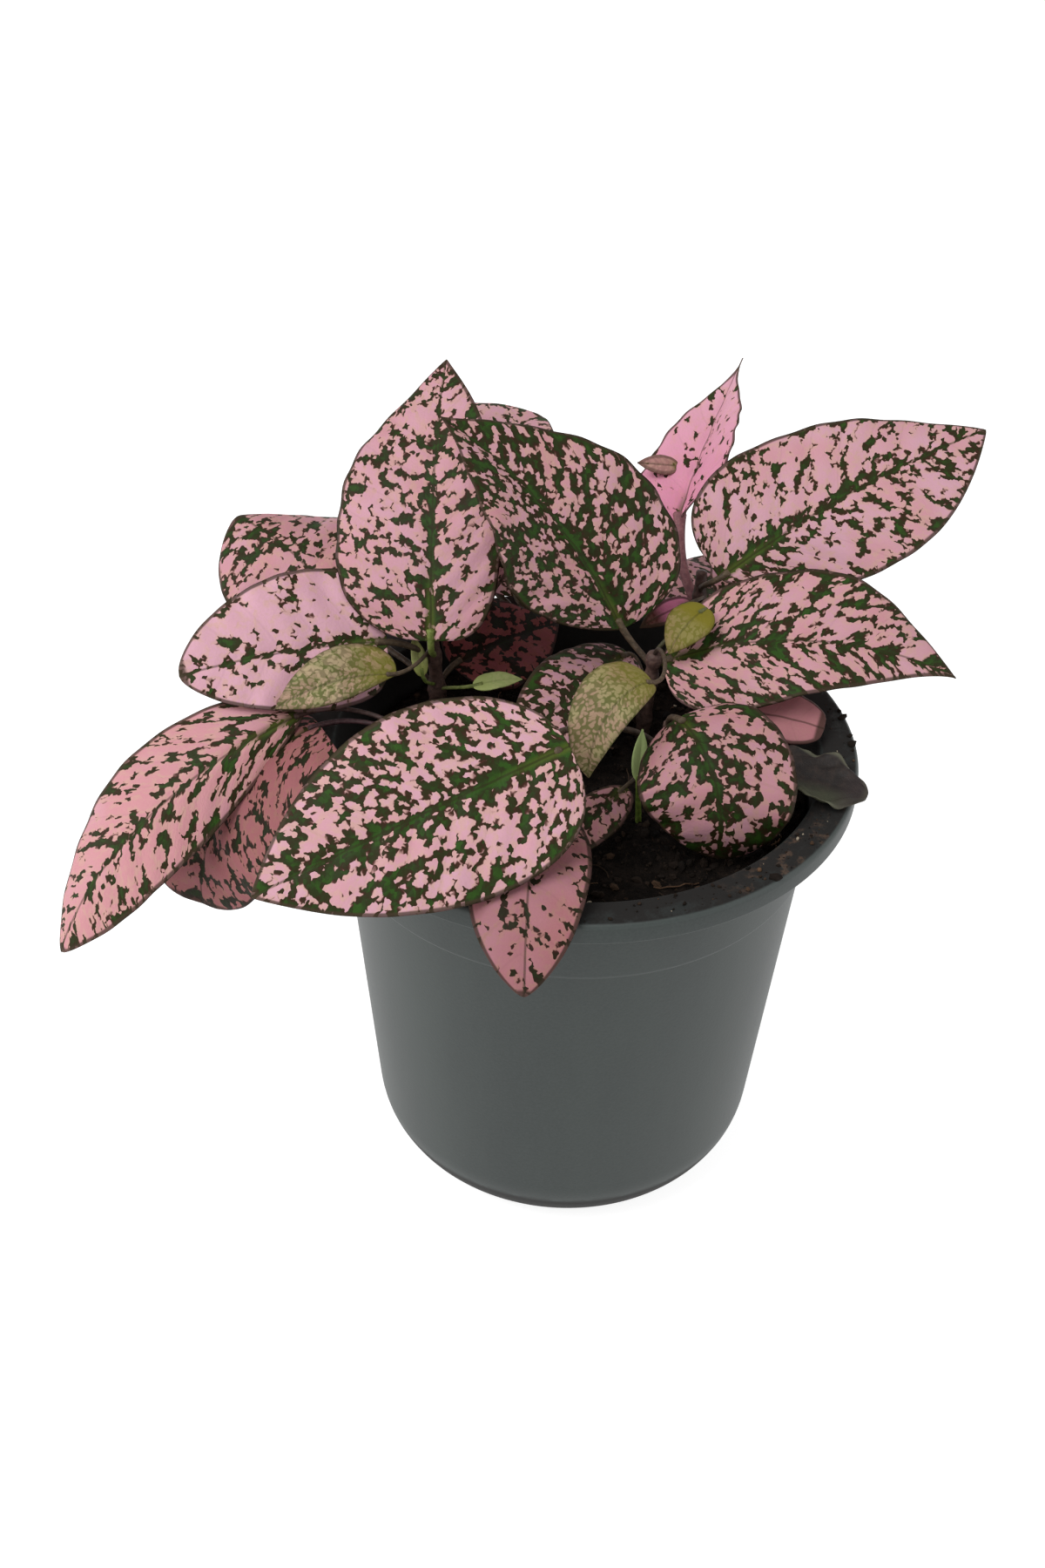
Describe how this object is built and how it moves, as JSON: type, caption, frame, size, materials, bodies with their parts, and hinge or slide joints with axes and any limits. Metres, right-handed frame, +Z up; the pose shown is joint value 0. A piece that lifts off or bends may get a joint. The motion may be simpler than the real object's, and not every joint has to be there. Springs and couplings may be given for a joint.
{
  "type": "potted polka dot plant",
  "caption": "Leafy houseplant with pink spotted leaves on short stems, standing in the soil of a round tapered plastic nursery pot.",
  "frame": {"origin": "middle of the pot's underside, where it rests", "axes": "+Z up along the pot's axis, -Y towards the side that faces the viewer, +X to the viewer's right"},
  "size_m": [0.2037, 0.1706, 0.1694],
  "materials": {
    "pot_plastic": "satin dark grey moulded plastic",
    "peat": "moist dark peat crumbs, of about the density of wood",
    "leaf": "soft pink leaf with green veins and brown strokes, of about the density of leather",
    "young_leaf": "soft pale green leaf, of about the density of leather"
  },
  "bodies": {
    "root": {"pot": "pot_plastic", "soil": "peat", "shoot_left": "leaf", "shoot_centre": "leaf", "shoot_right": "leaf", "shoot_front_left": "leaf", "shoot_front_right": "leaf", "shoot_back": "leaf", "seedling": "young_leaf"}
  },
  "joints": []
}
